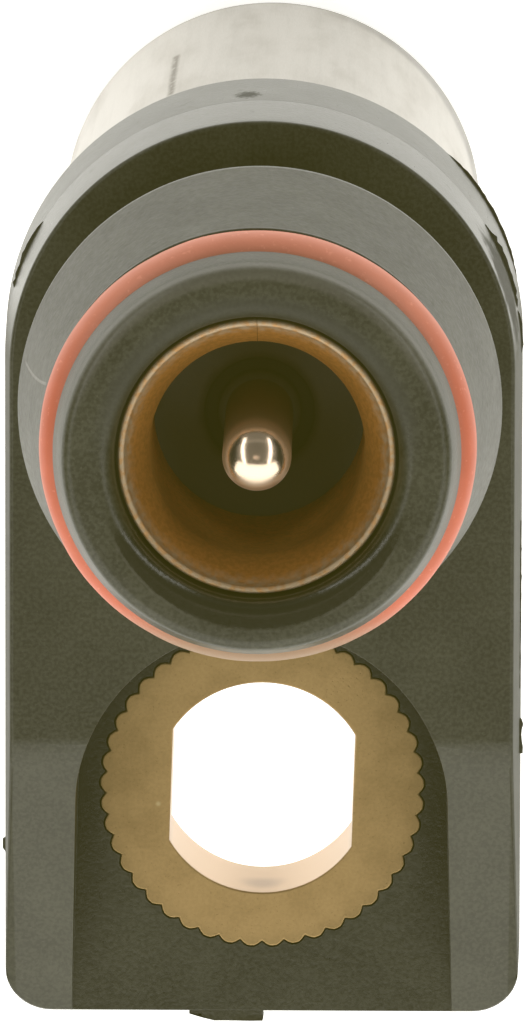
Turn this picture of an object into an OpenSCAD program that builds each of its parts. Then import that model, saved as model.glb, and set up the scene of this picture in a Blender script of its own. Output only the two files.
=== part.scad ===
// Inductive crankshaft position sensor with a coaxial connector.
// Z is the sensor's axis with the connector up, the bolt tail points to -Y,
// and the origin is on the axis in the flange's seating face. Millimetres.

/* [Body] */
// Thickness of the moulded body, seat to front face
body_thickness = 8.4; // [7.6:0.1:10]
// Radius of the body at the seat
body_radius = 9.38; // [9.2:0.02:11]
// How much smaller the body is at the parting line
rear_draft = 0.14; // [0:0.02:0.3]
// How much smaller again it is at its front edge
front_draft = 0.29; // [0.1:0.01:0.5]
// Height of the parting line above the seat
parting_z = 5; // [4.6:0.1:6]

/* [Bolt tail] */
// Distance from the axis to the bolt
bolt_offset = 16.05; // [15.6:0.05:20]
// Distance from the bolt to the end of the tail
tail_beyond = 8.45; // [7.5:0.05:10]
// Corner radius of the tail
tail_corner = 1.8; // [1:0.1:2.4]
// Thickness of the tail under the recess, and length of the bush
flange_thickness = 4.4; // [3.6:0.1:4.4]
// Room between the bush and the recess wall
recess_margin = 0.8; // [0.6:0.02:1.1]
// How much the recess opens on each side towards the tail's end
recess_flare = 0.25; // [0:0.05:0.4]
// How far before the bolt the side rails start to slope
rail_lead = 2.1; // [0:0.1:4]

/* [Bush] */
// Diameter of the bush over its knurl
bush_diameter = 11.8; // [10.5:0.1:12]
// Number of knurl teeth
knurl_teeth = 45; // [36:1:60]
// Depth of the knurl
knurl_depth = 0.2; // [0.1:0.05:0.4]
// Width of the bolt hole across its flats
bolt_flats = 6.6; // [6.2:0.1:7.2]
// Diameter of the bolt hole's round ends
bolt_bore = 7.8; // [7.3:0.1:8.2]
// Turn of the bush in the tail, in degrees
bush_turn = -2; // [-6:1:6]

/* [Nose] */
// Length of the nose in front of the body
nose_length = 18.1; // [17:0.1:21]
// Radius of the neck behind the collar
neck_radius = 7.25; // [6.9:0.05:7.6]
// Length of the neck
neck_length = 7.2; // [6:0.1:8]
// Largest radius of the snap collar
collar_radius = 8.42; // [8.1:0.02:8.8]
// Width of the collar's thin edge
collar_edge = 0.4; // [0.1:0.05:0.6]
// Radius of the collar where it meets the seal groove
collar_front = 7.35; // [7.1:0.05:7.6]
// Radius of the land in front of the seal
land_radius = 6.9; // [6.8:0.05:7.2]
// Length of the land in front of the seal
land_length = 1.4; // [1.1:0.1:2.5]
// How much narrower the land is at the nose's front
land_taper = 0.4; // [0.1:0.05:0.5]
// Rounding of the nose's front edge
nose_round = 0.3; // [0.2:0.05:0.5]

/* [Seal] */
// Thickness of the seal's cord
seal_cord = 1.6; // [1.2:0.1:1.7]
// Radius of the seal at the middle of its cord
seal_radius = 6.63; // [6.5:0.01:6.9]
// Width of the seal groove
groove_width = 2.2; // [1.8:0.1:2.5]

/* [Connector] */
// Outer radius of the shield sleeve
shield_radius = 4.69; // [4.5:0.01:4.9]
// Bore radius of the shield sleeve
shield_bore = 3.65; // [3.4:0.05:3.9]
// Thickness left at the shield sleeve's rim
shield_rim = 0.24; // [0.15:0.01:0.4]
// Depth of the funnel at the sleeve's mouth
mouth_depth = 1.5; // [1:0.1:2.5]
// Length of the shield sleeve
shield_length = 13.4; // [12:0.1:14.5]
// How far the sleeve's rim lies behind the nose's front
shield_recess = 0.6; // [0.2:0.05:1]
// Width of the seam along the sleeve
seam_width = 0.2; // [0.1:0.05:0.4]
// Room around the sleeve in the nose's mouth
mouth_room = 0.1; // [0.05:0.01:0.3]
// Depth of the room around the sleeve
mouth_room_depth = 1.2; // [1.1:0.1:2.2]
// Rounding of the mouth round the sleeve
mouth_round = 0.6; // [0.3:0.05:0.7]
// Depth of the socket from the sleeve's rim
socket_depth = 8.85; // [8:0.05:10]
// Width of floor between the centre pin and the moat round it
moat_margin = 0.3; // [0.2:0.05:0.4]
// Width of the moat
moat_width = 0.4; // [0.2:0.05:0.5]
// Depth of the moat
moat_depth = 0.4; // [0.2:0.05:0.6]
// Diameter of the centre pin
pin_diameter = 2.34; // [2:0.02:2.6]
// How far the pin's tip passes the sleeve's rim
pin_reach = 0.8; // [0.2:0.1:1.2]
// Rounding of the pin's tip
pin_round = 0.7; // [0.3:0.05:0.9]
// Diameter of the pin's tail
pin_tail = 1.4; // [1:0.1:1.8]
// Thickness of the insulator's foot under the sleeve
foot_thickness = 1; // [0.6:0.1:1.5]

/* [Barrel] */
// Diameter of the steel barrel
barrel_diameter = 16.5; // [16.2:0.1:17.4]
// Length of the barrel behind the seat
barrel_length = 31.4; // [30:0.2:40]
// Wall of the barrel
barrel_wall = 0.6; // [0.5:0.05:0.8]
// Thickness of the barrel's tip
tip_thickness = 0.8; // [0.6:0.05:1.2]
// Rounding of the barrel's tip
tip_round = 0.8; // [0.4:0.05:0.9]
// Length of the barrel held in the body
barrel_grip = 4; // [3:0.1:4.2]
// How much smaller the barrel is where the body holds it
grip_step = 0.2; // [0.1:0.05:0.3]
// Depth of the relief in the seat round the barrel
seat_relief = 0.3; // [0.1:0.05:0.6]

/* [Coil] */
// Diameter of the pole
core_diameter = 4; // [3.4:0.1:4.6]
// Thickness of the washer at the tip
washer_thickness = 0.4; // [0.2:0.05:0.6]
// Wall of the bobbin's hub
hub_wall = 0.75; // [0.5:0.05:1]
// Thickness of each bobbin flange
bobbin_flange = 0.8; // [0.6:0.05:1.2]
// Diameter of the winding
winding_diameter = 13; // [12.6:0.1:13.4]
// Length of the winding
coil_length = 14.4; // [12:0.1:15]
// Thickness of the tape over the winding
tape_thickness = 0.2; // [0.1:0.05:0.3]

/* [Magnet] */
// Thickness of the pole's head
head_thickness = 2; // [1.5:0.1:2.5]
// Diameter of the pole's head, the magnet and the plate
magnet_diameter = 9; // [8:0.1:9.4]
// Length of the magnet
magnet_length = 6; // [5:0.1:7]
// Thickness of the flux plate
plate_thickness = 1.2; // [0.8:0.1:1.6]

/* [Wiring] */
// Diameter of the terminal posts
post_diameter = 1; // [0.8:0.05:1.1]
// Distance from the axis to each post
post_offset = 5.85; // [5.75:0.05:6]
// Thickness of the connecting strips
strip_thickness = 0.4; // [0.3:0.05:0.6]
// Width of the connecting strips
strip_width = 2; // [1.8:0.1:2.4]
// Depth of the strips under the barrel's rim
strip_depth = 2; // [1.6:0.1:2.2]
// Width of strip left round a pin or post
strip_border = 0.4; // [0.3:0.05:0.5]
// Length of the ground strip along the sleeve
strip_contact = 4; // [2:0.1:6]
// How far pins and posts pass the strips
strip_pass = 0.4; // [0.2:0.1:0.6]
// Diameter of the winding's leads
lead_diameter = 0.3; // [0.2:0.02:0.4]
// Length of the leads along the posts
lead_length = 6; // [4:0.1:8]

/* [Mould marks] */
// How far the flash stands out at the right side
flash_reach = 0.25; // [0.05:0.01:0.4]
// How far the seam stands out along the tail
seam_reach = 0.1; // [0.03:0.01:0.2]
// Thickness of the flash
flash_thickness = 0.12; // [0.08:0.01:0.2]
// Angle of the flash round the top of the body
flash_angle = 40; // [10:1:60]
// Width of the gate stub
gate_width = 2.8; // [1:0.1:3]
// How far the gate stub stands out under the tail
gate_reach = 0.26; // [0.1:0.01:0.6]
// Height of the gate stub
gate_height = 1.3; // [0.6:0.1:2]
// Distance of the gate stub from the middle
gate_shift = -1.3; // [-3:0.1:3]
// Length of the burr on the tail's left side
burr_length = 1.2; // [0.5:0.1:3]
// How far the burr stands out
burr_reach = 0.25; // [0.05:0.01:0.3]
// Distance of the burr past the bolt
burr_shift = 2.4; // [0:0.1:4]

/* [Fits] */
// Gap between the seal and the rear side of its groove
seal_gap = 0.05; // [0.03:0.01:0.1]
// Gap round the barrel in the seat's relief
relief_gap = 0.1; // [0.05:0.01:0.2]
// Gap between the bobbin and the barrel
bobbin_gap = 0.2; // [0.1:0.05:0.3]
// Gap between the magnet holder and the barrel
holder_gap = 0.1; // [0.05:0.05:0.2]
// Gap round the pole in the bobbin and washer
core_gap = 0.05; // [0.03:0.01:0.1]
// Gap round the pole's head, magnet and plate
magnet_gap = 0.05; // [0.03:0.01:0.1]
// Gap between a lead and its post
lead_gap = 0.05; // [0.03:0.01:0.1]
// Gap round the posts and leads in the magnet holder
channel_gap = 0.1; // [0.05:0.05:0.15]

/* [Hidden] */
$fn = 96;
over = 0.5;

seam_radius = body_radius - rear_draft;
tail_end = bolt_offset + tail_beyond;
recess_radius = bush_diameter / 2 + recess_margin;
rail_start = bolt_offset - rail_lead;

neck_top = body_thickness + neck_length;
nose_top = body_thickness + nose_length;
groove_top = nose_top - land_length;
groove_bottom = groove_top - groove_width;
groove_radius = seal_radius - seal_cord / 2;
seal_z = groove_bottom + seal_gap + seal_cord / 2;

shield_top = nose_top - shield_recess;
shield_bottom = shield_top - shield_length;
mouth_radius = shield_radius - shield_rim;
room_radius = shield_radius + mouth_room;
room_floor = nose_top - mouth_room_depth;
socket_floor = shield_top - socket_depth;
foot_bottom = shield_bottom - foot_thickness;
foot_radius = (shield_bore + shield_radius) / 2;
pin_radius = pin_diameter / 2;
pin_top = shield_top + pin_reach;
moat_inner = pin_radius + moat_margin;
moat_outer = moat_inner + moat_width;

barrel_radius = barrel_diameter / 2;
barrel_bore = barrel_radius - barrel_wall;
grip_radius = barrel_radius - grip_step;
tip_inside = -barrel_length + tip_thickness;
washer_top = tip_inside + washer_thickness;
coil_bottom = washer_top + bobbin_flange;
coil_top = coil_bottom + coil_length;
bobbin_top = coil_top + bobbin_flange;
head_top = bobbin_top + head_thickness;
magnet_top = head_top + magnet_length;
plate_top = magnet_top + plate_thickness;
core_radius = core_diameter / 2;
hub_bore = core_radius + core_gap;
hub_radius = hub_bore + hub_wall;
bobbin_radius = barrel_bore - bobbin_gap;
winding_radius = winding_diameter / 2;
tape_radius = winding_radius + tape_thickness;
magnet_radius = magnet_diameter / 2;
holder_bore = magnet_radius + magnet_gap;
holder_radius = barrel_bore - holder_gap;

post_radius = post_diameter / 2;
lead_radius = lead_diameter / 2;
lead_shift = post_radius + lead_gap + lead_radius;
strip_z = barrel_grip - strip_depth;
strip_top = strip_z + strip_thickness;
strip_end = post_offset + post_radius + strip_border;
strip_start = pin_tail / 2 + strip_border;
ground_top = shield_bottom + strip_contact;

// A round bar from one height to another.
module bar(radius, low, high) {
    translate([0, 0, low]) cylinder(r = radius, h = high - low);
}

// A ring from one height to another.
module ring(outer, inner, low, high) {
    difference() {
        bar(outer, low, high);
        bar(inner, low - over, high + over);
    }
}

// A bar that narrows from one radius to another.
module taper(low_radius, high_radius, low, high) {
    translate([0, 0, low]) cylinder(r1 = low_radius, r2 = high_radius, h = high - low);
}

// Moves its children to the bolt.
module at_bolt() {
    translate([0, -bolt_offset, 0]) children();
}

// The tombstone outline between two heights, drawn in by a draft at each of them.
module tombstone(low, high, low_draft, high_draft) {
    low_side = body_radius - tail_corner;
    low_end = tail_end - tail_corner;
    wide = body_radius - low_draft;
    narrow = body_radius - high_draft;
    taper(wide, narrow, low, high);
    rotate([90, 0, 0]) linear_extrude(height = low_end)
        polygon([[-wide, low], [wide, low], [narrow, high], [-narrow, high]]);
    translate([-low_side, 0, 0]) rotate([90, 0, 90]) linear_extrude(height = 2 * low_side)
        polygon([[low_draft - tail_end, low], [0, low], [0, high], [high_draft - tail_end, high]]);
    for (s = [-1, 1]) translate([s * low_side, -low_end, 0])
        taper(tail_corner - low_draft, tail_corner - high_draft, low, high);
}

// What is cut off the tail so that its rails slope down to the recess floor.
module rail_cut() {
    translate([-body_radius - over, 0, 0]) rotate([90, 0, 90])
        linear_extrude(height = 2 * (body_radius + over)) polygon([
            [-rail_start, body_thickness],
            [-rail_start, body_thickness + over],
            [-tail_end - over, body_thickness + over],
            [-tail_end - over, flange_thickness],
            [-tail_end, flange_thickness]]);
}

// The recess round the bush, open at the tail's end.
module recess_cut() {
    depth = body_thickness - flange_thickness + over;
    reach = tail_beyond + over;
    translate([0, -bolt_offset, flange_thickness]) {
        cylinder(r = recess_radius, h = depth);
        linear_extrude(height = depth) polygon([
            [-recess_radius, 0], [recess_radius, 0],
            [recess_radius + recess_flare, -reach], [-recess_radius - recess_flare, -reach]]);
    }
}

// Section of the nose, with a tapered land and a rounded front edge.
module nose_section() {
    front_radius = land_radius - land_taper;
    slope = atan(land_taper / land_length);
    setback = nose_round * (1 - sin(slope)) / cos(slope);
    reach = nose_round + over;
    difference() {
        polygon([[0, parting_z], [neck_radius, parting_z], [neck_radius, neck_top],
            [collar_radius, neck_top], [collar_radius, neck_top + collar_edge],
            [collar_front, groove_bottom], [groove_radius, groove_bottom],
            [groove_radius, groove_top], [land_radius, groove_top],
            [front_radius, nose_top], [0, nose_top]]);
        translate([front_radius - setback, nose_top - nose_round]) difference() {
            polygon([[0, 0], [reach * cos(slope), reach * sin(slope)], [reach, reach], [0, reach]]);
            circle(r = nose_round);
        }
    }
}

// Section of the mouth round the sleeve, with a rounded edge.
module mouth_section() {
    edge = nose_top - mouth_round;
    translate([0, room_floor]) square([room_radius, mouth_room_depth + over]);
    translate([0, edge]) difference() {
        square([room_radius + mouth_round, mouth_round + over]);
        translate([room_radius + mouth_round, 0]) circle(r = mouth_round);
    }
}

// Flash and seam along the parting line, the burr on the left and the broken-off gate under the tail.
module mould_marks() {
    burr_end = bolt_offset + burr_shift + burr_length / 2;
    rotate_extrude(angle = flash_angle) translate([seam_radius - over, parting_z - flash_thickness])
        square([over + flash_reach, flash_thickness]);
    translate([seam_radius - over, -rail_start, parting_z - flash_thickness])
        cube([over + seam_reach, rail_start, flash_thickness]);
    translate([-seam_radius - burr_reach, -burr_end, parting_z - gate_height])
        cube([over + burr_reach, burr_length, flash_thickness]);
    translate([gate_shift - gate_width / 2, -tail_end - gate_reach, flange_thickness - gate_height])
        cube([gate_width, gate_reach + over, gate_height]);
}

// Outline of the knurl.
module knurl() {
    tip = bush_diameter / 2;
    root = tip - knurl_depth;
    step = 180 / knurl_teeth;
    polygon([for (i = [0 : 2 * knurl_teeth - 1])
        (i % 2 == 0 ? tip : root) * [sin(i * step), cos(i * step)]]);
}

// Outside of the bush, without its hole.
module bush_blank() {
    at_bolt() linear_extrude(height = flange_thickness) knurl();
}

// The centre pin below its tip, with its thin tail.
module pin_shank() {
    bar(pin_radius, socket_floor, pin_top - pin_round);
    bar(pin_tail / 2, strip_z - strip_pass, socket_floor + over);
}

// The insulator before the pin's hole is taken out.
module insulator_blank() {
    bar(shield_bore, foot_bottom, socket_floor);
    bar(foot_radius, foot_bottom, shield_bottom);
}

// The strip from the ground post up to the shield sleeve.
module ground_blank() {
    translate([-strip_end, -strip_width / 2, strip_z])
        cube([strip_end - shield_radius, strip_width, strip_thickness]);
    translate([-shield_radius - strip_thickness, -strip_width / 2, strip_z])
        cube([strip_thickness, strip_width, ground_top - strip_z]);
}

// The strip from the signal post to the pin's tail.
module signal_blank() {
    translate([-strip_start, -strip_width / 2, strip_z])
        cube([strip_start + strip_end, strip_width, strip_thickness]);
}

// A terminal post on the side given by its sign.
module post(side) {
    translate([side * post_offset, 0, 0]) bar(post_radius, coil_top, strip_top + strip_pass);
}

// A lead beside the post on the side given by its sign.
module lead(side) {
    translate([side * post_offset, lead_shift, 0]) bar(lead_radius, coil_top, coil_top + lead_length);
}

module housing() {
    color([0.16, 0.16, 0.14]) difference() {
        union() {
            difference() {
                union() {
                    tombstone(0, parting_z, 0, rear_draft);
                    tombstone(parting_z, body_thickness, rear_draft, rear_draft + front_draft);
                    mould_marks();
                }
                rail_cut();
                recess_cut();
            }
            rotate_extrude() nose_section();
        }
        bush_blank();
        bar(grip_radius, -over, barrel_grip);
        bar(barrel_radius + relief_gap, -over, seat_relief);
        bar(shield_radius, shield_bottom, nose_top + over);
        rotate_extrude() mouth_section();
        insulator_blank();
        pin_shank();
        ground_blank();
    }
}

module barrel_cup() {
    inner_round = max(0.1, tip_round - barrel_wall);
    color([0.78, 0.77, 0.74]) difference() {
        rotate_extrude() difference() {
            union() {
                translate([0, -barrel_length]) square([barrel_radius, barrel_length]);
                square([grip_radius, barrel_grip]);
            }
            translate([0, tip_inside]) difference() {
                square([barrel_bore, barrel_length + barrel_grip + over]);
                translate([barrel_bore - inner_round, inner_round]) mirror([0, 1]) difference() {
                    square(inner_round + over);
                    circle(r = inner_round);
                }
            }
            translate([barrel_radius - tip_round, tip_round - barrel_length]) mirror([0, 1]) difference() {
                square(tip_round + over);
                circle(r = tip_round);
            }
        }
        bar(core_radius, -barrel_length - over, tip_inside + over);
    }
}

module flange_bush() {
    color([0.66, 0.54, 0.34]) difference() {
        bush_blank();
        at_bolt() rotate([0, 0, bush_turn]) intersection() {
            bar(bolt_bore / 2, -over, flange_thickness + over);
            translate([-bolt_flats / 2, -bolt_bore, -2 * over])
                cube([bolt_flats, 2 * bolt_bore, flange_thickness + 4 * over]);
        }
    }
}

module connector_seal() {
    color([0.76, 0.40, 0.32]) translate([0, 0, seal_z]) rotate_extrude()
        translate([seal_radius, 0]) circle(d = seal_cord);
}

module shield_sleeve() {
    color([0.62, 0.44, 0.24]) difference() {
        bar(shield_radius, shield_bottom, shield_top);
        bar(shield_bore, shield_bottom - over, shield_top + over);
        taper(shield_bore, mouth_radius, shield_top - mouth_depth, shield_top);
        translate([-seam_width / 2, 0, shield_bottom - over])
            cube([seam_width, shield_radius + over, shield_length + 2 * over]);
    }
}

module centre_pin() {
    color([0.86, 0.82, 0.72]) {
        pin_shank();
        rotate_extrude() {
            square_low = pin_top - pin_round - over;
            translate([0, square_low]) square([pin_radius, over]);
            translate([0, square_low + over]) square([pin_radius - pin_round, pin_round]);
            intersection() {
                translate([pin_radius - pin_round, pin_top - pin_round]) circle(r = pin_round);
                translate([pin_radius - pin_round, pin_top - pin_round]) square(pin_round);
            }
        }
    }
}

module pin_insulator() {
    color([0.15, 0.14, 0.10]) difference() {
        insulator_blank();
        pin_shank();
        ring(moat_outer, moat_inner, socket_floor - moat_depth, socket_floor + over);
    }
}

module pole_core() {
    color([0.50, 0.50, 0.49]) {
        bar(core_radius, -barrel_length, bobbin_top + over);
        bar(magnet_radius, bobbin_top, head_top);
    }
}

module tip_washer() {
    color([0.80, 0.74, 0.58]) ring(bobbin_radius, hub_bore, tip_inside, washer_top);
}

module coil_bobbin() {
    color([0.85, 0.83, 0.76]) difference() {
        union() {
            bar(hub_radius, washer_top, bobbin_top);
            bar(bobbin_radius, washer_top, coil_bottom);
            bar(bobbin_radius, coil_top, bobbin_top);
        }
        bar(hub_bore, washer_top - over, bobbin_top + over);
        for (side = [-1, 1]) {
            post(side);
            lead(side);
        }
    }
}

module coil_winding() {
    color([0.72, 0.40, 0.20]) ring(winding_radius, hub_radius, coil_bottom, coil_top);
}

module winding_tape() {
    color([0.86, 0.72, 0.30]) ring(tape_radius, winding_radius, coil_bottom, coil_top);
}

module magnet() {
    color([0.40, 0.40, 0.42]) bar(magnet_radius, head_top, magnet_top);
}

module flux_plate() {
    color([0.55, 0.55, 0.54]) bar(magnet_radius, magnet_top, plate_top);
}

module magnet_holder() {
    low_y = -post_radius - channel_gap;
    high_y = lead_shift + lead_radius + channel_gap;
    wide = post_radius + channel_gap;
    color([0.82, 0.80, 0.72]) difference() {
        ring(holder_radius, holder_bore, bobbin_top, plate_top);
        for (side = [-1, 1]) translate([side * post_offset - wide, low_y, bobbin_top - over])
            cube([2 * wide, high_y - low_y, plate_top - bobbin_top + 2 * over]);
    }
}

module signal_post() {
    color([0.76, 0.62, 0.34]) post(1);
}

module ground_post() {
    color([0.76, 0.62, 0.34]) post(-1);
}

module start_lead() {
    color([0.74, 0.42, 0.22]) lead(1);
}

module finish_lead() {
    color([0.74, 0.42, 0.22]) lead(-1);
}

module signal_strip() {
    color([0.78, 0.66, 0.40]) difference() {
        signal_blank();
        post(1);
        pin_shank();
    }
}

module ground_strip() {
    color([0.78, 0.66, 0.40]) difference() {
        ground_blank();
        post(-1);
    }
}

module potting_fill() {
    color([0.22, 0.20, 0.16]) difference() {
        bar(barrel_bore, plate_top, barrel_grip);
        signal_blank();
        ground_blank();
        pin_shank();
        post(1);
        post(-1);
    }
}

housing();
barrel_cup();
flange_bush();
connector_seal();
shield_sleeve();
centre_pin();
pin_insulator();
pole_core();
tip_washer();
coil_bobbin();
coil_winding();
winding_tape();
magnet();
flux_plate();
magnet_holder();
signal_post();
ground_post();
start_lead();
finish_lead();
signal_strip();
ground_strip();
potting_fill();
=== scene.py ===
"""Looks of an inductive crankshaft position sensor with a coaxial connector.

Z is the sensor's axis with the connector up, the bolt tail points to -Y, and the origin is on the axis
in the flange's seating face. Sizes in the classes are millimetres, and the meshes are metres.
"""

import logging
import math
from collections.abc import Callable, Iterable, Iterator
from contextlib import contextmanager
from dataclasses import dataclass
from enum import Enum
from typing import Union

import bmesh
import bpy
from mathutils import Matrix, Vector


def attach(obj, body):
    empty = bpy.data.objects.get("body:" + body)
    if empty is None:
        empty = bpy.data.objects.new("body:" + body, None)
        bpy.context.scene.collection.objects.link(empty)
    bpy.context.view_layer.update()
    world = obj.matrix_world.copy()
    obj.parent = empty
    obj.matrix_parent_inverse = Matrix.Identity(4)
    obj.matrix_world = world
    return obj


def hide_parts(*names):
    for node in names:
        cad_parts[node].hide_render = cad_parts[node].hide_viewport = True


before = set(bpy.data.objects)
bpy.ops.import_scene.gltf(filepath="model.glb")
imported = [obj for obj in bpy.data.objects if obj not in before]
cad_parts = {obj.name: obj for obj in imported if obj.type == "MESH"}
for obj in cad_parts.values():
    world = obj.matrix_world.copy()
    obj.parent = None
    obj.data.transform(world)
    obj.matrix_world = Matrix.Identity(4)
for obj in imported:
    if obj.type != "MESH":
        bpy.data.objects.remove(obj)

LOG = logging.getLogger("sensor")
MM = 0.001
IMAGE_SIZE = (529, 1024)
Pair = tuple[float, float]
Triple = tuple[float, float, float]
Test = Callable[[Vector, Vector], bool]
Picture = bpy.types.NodeSocket


class Pick(Enum):
    """What a selection in edit mode is made of."""

    POINTS = "VERT"
    EDGES = "EDGE"
    FACES = "FACE"


class Cut(Enum):
    """How one solid changes another."""

    TAKE_AWAY = "DIFFERENCE"
    WELD = "UNION"


# Shaping


def metres(point: Iterable[float]) -> tuple[float, ...]:
    """Turns millimetres into metres."""
    return tuple(value * MM for value in point)


def arc(centre: Pair, radius: float, start: float, end: float, steps: int) -> list[Pair]:
    """Points on an arc in the plane of radius and height.

    Args:
        centre: Middle of the arc.
        radius: Radius of the arc.
        start: First angle in degrees, from the radius axis.
        end: Last angle in degrees.
        steps: Number of chords.

    Returns:
        The points, both ends among them.
    """
    angles = [math.radians(start + (end - start) * i / steps) for i in range(steps + 1)]
    return [(centre[0] + radius * math.cos(a), centre[1] + radius * math.sin(a)) for a in angles]


class Bench:
    """One mesh on the bench, shaped with Blender's own operators. Sizes are in millimetres."""

    def __init__(self, name: str, start: Callable[[], object]) -> None:
        """Adds the primitive that the piece starts from.

        Args:
            name: Name of the object and its mesh.
            start: Adds one primitive, which becomes the piece.
        """
        bpy.ops.object.select_all(action="DESELECT")
        start()
        self.obj: bpy.types.Object = bpy.context.object
        self.obj.name = name
        self.obj.data.name = name
        bpy.ops.object.transform_apply(location=True, rotation=True, scale=True)

    def hold(self) -> None:
        """Makes this the only selected object."""
        bpy.ops.object.select_all(action="DESELECT")
        self.obj.select_set(True)
        bpy.context.view_layer.objects.active = self.obj

    @contextmanager
    def edit(self) -> Iterator[None]:
        """Opens edit mode with nothing selected, and leaves it at the end."""
        self.hold()
        bpy.ops.object.mode_set(mode="EDIT")
        bpy.ops.mesh.select_all(action="DESELECT")
        yield
        bpy.ops.object.mode_set(mode="OBJECT")

    def whole(self) -> None:
        """Selects the whole mesh."""
        bpy.ops.mesh.select_all(action="SELECT")

    def pick(self, kind: Pick, test: Test) -> None:
        """Selects the points, edges or faces that pass a test.

        Args:
            kind: What is selected.
            test: Takes a middle in millimetres and a normal.
        """
        bpy.ops.mesh.select_mode(type=kind.value)
        bpy.ops.mesh.select_all(action="DESELECT")
        mesh = bmesh.from_edit_mesh(self.obj.data)
        for item in {Pick.POINTS: mesh.verts, Pick.EDGES: mesh.edges, Pick.FACES: mesh.faces}[kind]:
            if kind is Pick.POINTS:
                middle, normal = item.co, item.normal
            elif kind is Pick.FACES:
                middle, normal = item.calc_center_median(), item.normal
            else:
                one, two = item.verts
                middle, normal = (one.co + two.co) / 2, (one.normal + two.normal) / 2
            if test(middle / MM, normal):
                item.select_set(True)
        mesh.select_flush_mode()
        bmesh.update_edit_mesh(self.obj.data)

    def chain(self, points: Iterable[Triple]) -> None:
        """Draws a chain of edges, starting from the primitive drawn together to one point."""
        bpy.ops.mesh.select_mode(type="VERT")
        self.whole()
        bpy.ops.mesh.merge(type="CENTER")
        last = Vector((0, 0, 0))
        for index, point in enumerate(points):
            step = (Vector(point) - last) * MM
            if index == 0:
                bpy.ops.transform.translate(value=step)
            else:
                bpy.ops.mesh.extrude_vertices_move(TRANSFORM_OT_translate={"value": step})
            last = Vector(point)

    def raise_face(self, steps: Iterable[Pair]) -> None:
        """Raises the selected face in steps, each an inset and a height."""
        for inward, up in steps:
            bpy.ops.mesh.inset(thickness=inward * MM, depth=up * MM)

    def cap(self) -> None:
        """Closes the one open outline with a face."""
        bpy.ops.mesh.select_mode(type="EDGE")
        bpy.ops.mesh.select_all(action="DESELECT")
        bpy.ops.mesh.select_non_manifold(extend=False)
        if any(edge.select for edge in bmesh.from_edit_mesh(self.obj.data).edges):
            bpy.ops.mesh.edge_face_add()

    def close(self) -> None:
        """Merges doubles and turns all faces outwards."""
        bpy.ops.mesh.select_mode(type="VERT")
        self.whole()
        bpy.ops.mesh.remove_doubles(threshold=0.0005 * MM)
        bpy.ops.mesh.normals_make_consistent(inside=False)

    def shift(self, step: Triple) -> None:
        """Moves what is selected."""
        bpy.ops.transform.translate(value=metres(step))

    def stretch(self, factors: Triple, centre: Triple = (0, 0, 0)) -> None:
        """Scales what is selected about a point."""
        bpy.ops.transform.resize(value=factors, center_override=metres(centre))

    def modify(self, kind: str, **settings: object) -> None:
        """Adds a modifier with its settings and applies it."""
        self.hold()
        modifier = self.obj.modifiers.new(kind.title(), kind)
        for key, value in settings.items():
            setattr(modifier, key, value)
        bpy.ops.object.modifier_apply(modifier=modifier.name)

    def combine(self, tool: "Bench", how: Cut) -> None:
        """Changes this solid by another one, which is used up.

        Args:
            tool: The other solid.
            how: What the other solid does to this one.
        """
        self.modify("BOOLEAN", operation=how.value, solver="EXACT", object=tool.obj)
        bpy.data.meshes.remove(tool.obj.data)

    def soften(self, width: float, segments: int, angle: float) -> None:
        """Rounds every edge sharper than an angle in degrees."""
        self.modify("BEVEL", width=width * MM, segments=segments, limit_method="ANGLE",
                    angle_limit=math.radians(angle), use_clamp_overlap=True)

    def take_in(self, others: Iterable["Bench"]) -> None:
        """Joins other meshes into this one."""
        self.hold()
        for other in others:
            other.obj.select_set(True)
        bpy.ops.object.join()

    def finish(self, angle: float = 35.0) -> None:
        """Closes the mesh and shades it smooth up to an angle in degrees."""
        with self.edit():
            self.close()
        self.hold()
        bpy.ops.object.shade_smooth_by_angle(angle=math.radians(angle))
        self.modify("WEIGHTED_NORMAL", keep_sharp=True, weight=60)

    def hand_over(self, nodes: Iterable[str], slot: str, material: bpy.types.Material) -> None:
        """Gives the piece its material and puts it in the place of its CAD nodes.

        Args:
            nodes: CAD nodes that the piece stands for.
            slot: Material slot of the record. Not used.
            material: Finish of the piece.
        """
        self.obj.data.materials.clear()
        self.obj.data.materials.append(material)
        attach(self.obj, "root")
        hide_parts(*nodes)
        LOG.info("%s: %d faces", self.obj.name, len(self.obj.data.polygons))


def turned(name: str, profile: Iterable[Pair], steps: int = 144) -> Bench:
    """Spins a profile round the sensor's axis.

    Args:
        name: Name of the piece.
        profile: Points of radius and height, from axis to axis or closed on themselves.
        steps: Number of steps round the axis.

    Returns:
        The turned solid.
    """
    bench = Bench(name, lambda: bpy.ops.mesh.primitive_plane_add(size=MM))
    with bench.edit():
        bench.chain([(radius, 0.0, height) for radius, height in profile])
        bench.whole()
        bpy.ops.mesh.spin(steps=steps, angle=math.tau, center=(0, 0, 0), axis=(0, 0, 1))
        bench.close()
    return bench


def rod(name: str, radius: float, low: float, high: float, y: float = 0.0, steps: int = 144) -> Bench:
    """A round bar along Z, used to cut with."""
    middle = metres((0, y, (low + high) / 2))
    return Bench(name, lambda: bpy.ops.mesh.primitive_cylinder_add(
        vertices=steps, radius=radius * MM, depth=(high - low) * MM, location=middle))


def block(name: str, middle: Triple, size: Triple) -> Bench:
    """A box at its place and size."""
    return Bench(name, lambda: bpy.ops.mesh.primitive_cube_add(
        size=1, location=metres(middle), scale=metres(size)))


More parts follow.
